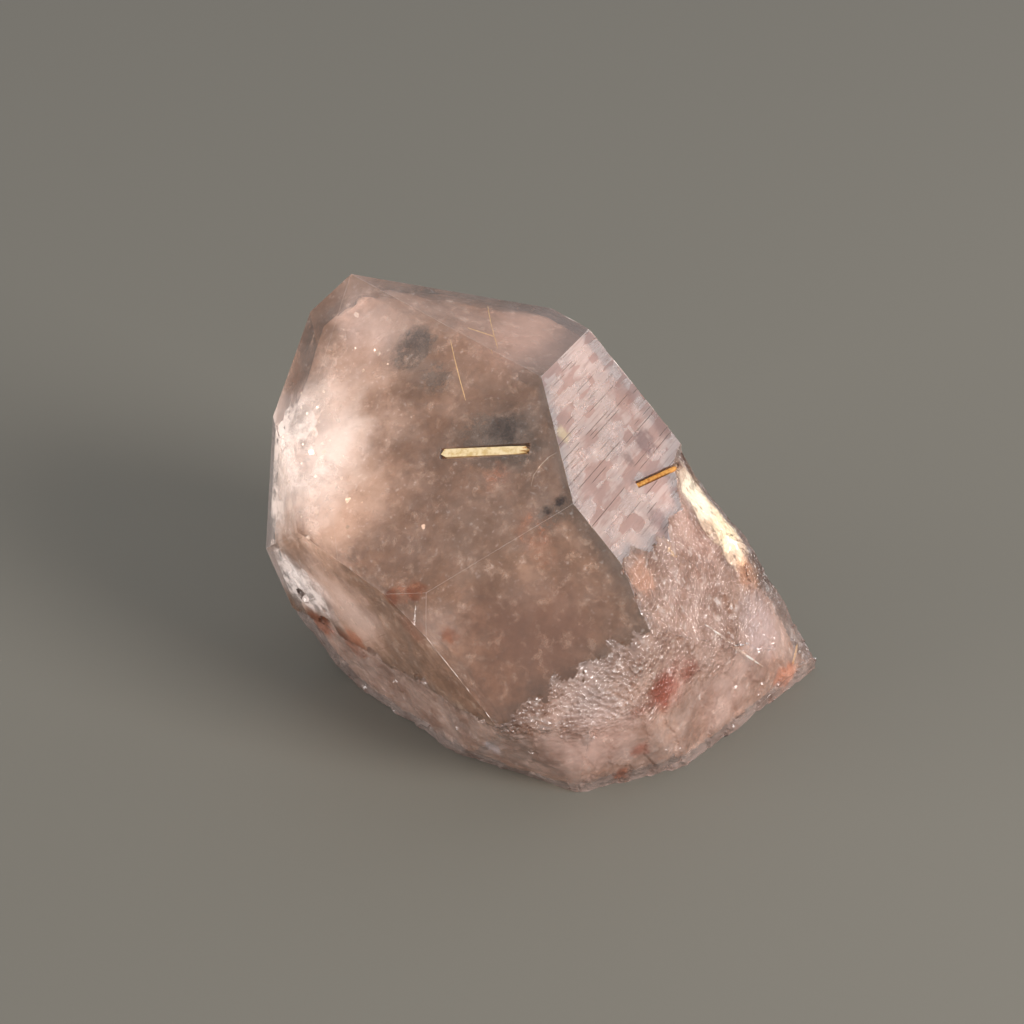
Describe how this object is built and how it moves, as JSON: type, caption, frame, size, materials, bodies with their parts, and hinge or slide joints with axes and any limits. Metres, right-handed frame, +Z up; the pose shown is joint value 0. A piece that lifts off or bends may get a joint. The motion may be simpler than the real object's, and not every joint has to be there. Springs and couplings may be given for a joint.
{
  "type": "rutilated quartz",
  "caption": "Thick broken quartz point with striated sides, a rough fractured base it leans back on, and golden rutile crystals set in its faces; a display mineral specimen.",
  "frame": {"origin": "under the middle of the part's bounding box, on the surface it stands on", "axes": "+X to the right as seen in the picture and along the longest extent, +Y away from the viewer, +Z up; the crystal's tip points up, back and to the left"},
  "size_m": [0.0508, 0.0402, 0.0344],
  "materials": {
    "quartz": "clear to cloudy quartz, faintly pinkish brown, glossy faces and rough breaks",
    "rutile_gold": "golden rutile with a silky sheen",
    "rutile_orange": "orange-brown rutile with a silky sheen"
  },
  "bodies": {
    "root": {"quartz_crystal": "quartz", "rutile_blade": "rutile_gold", "rutile_rod": "rutile_orange"}
  },
  "joints": []
}
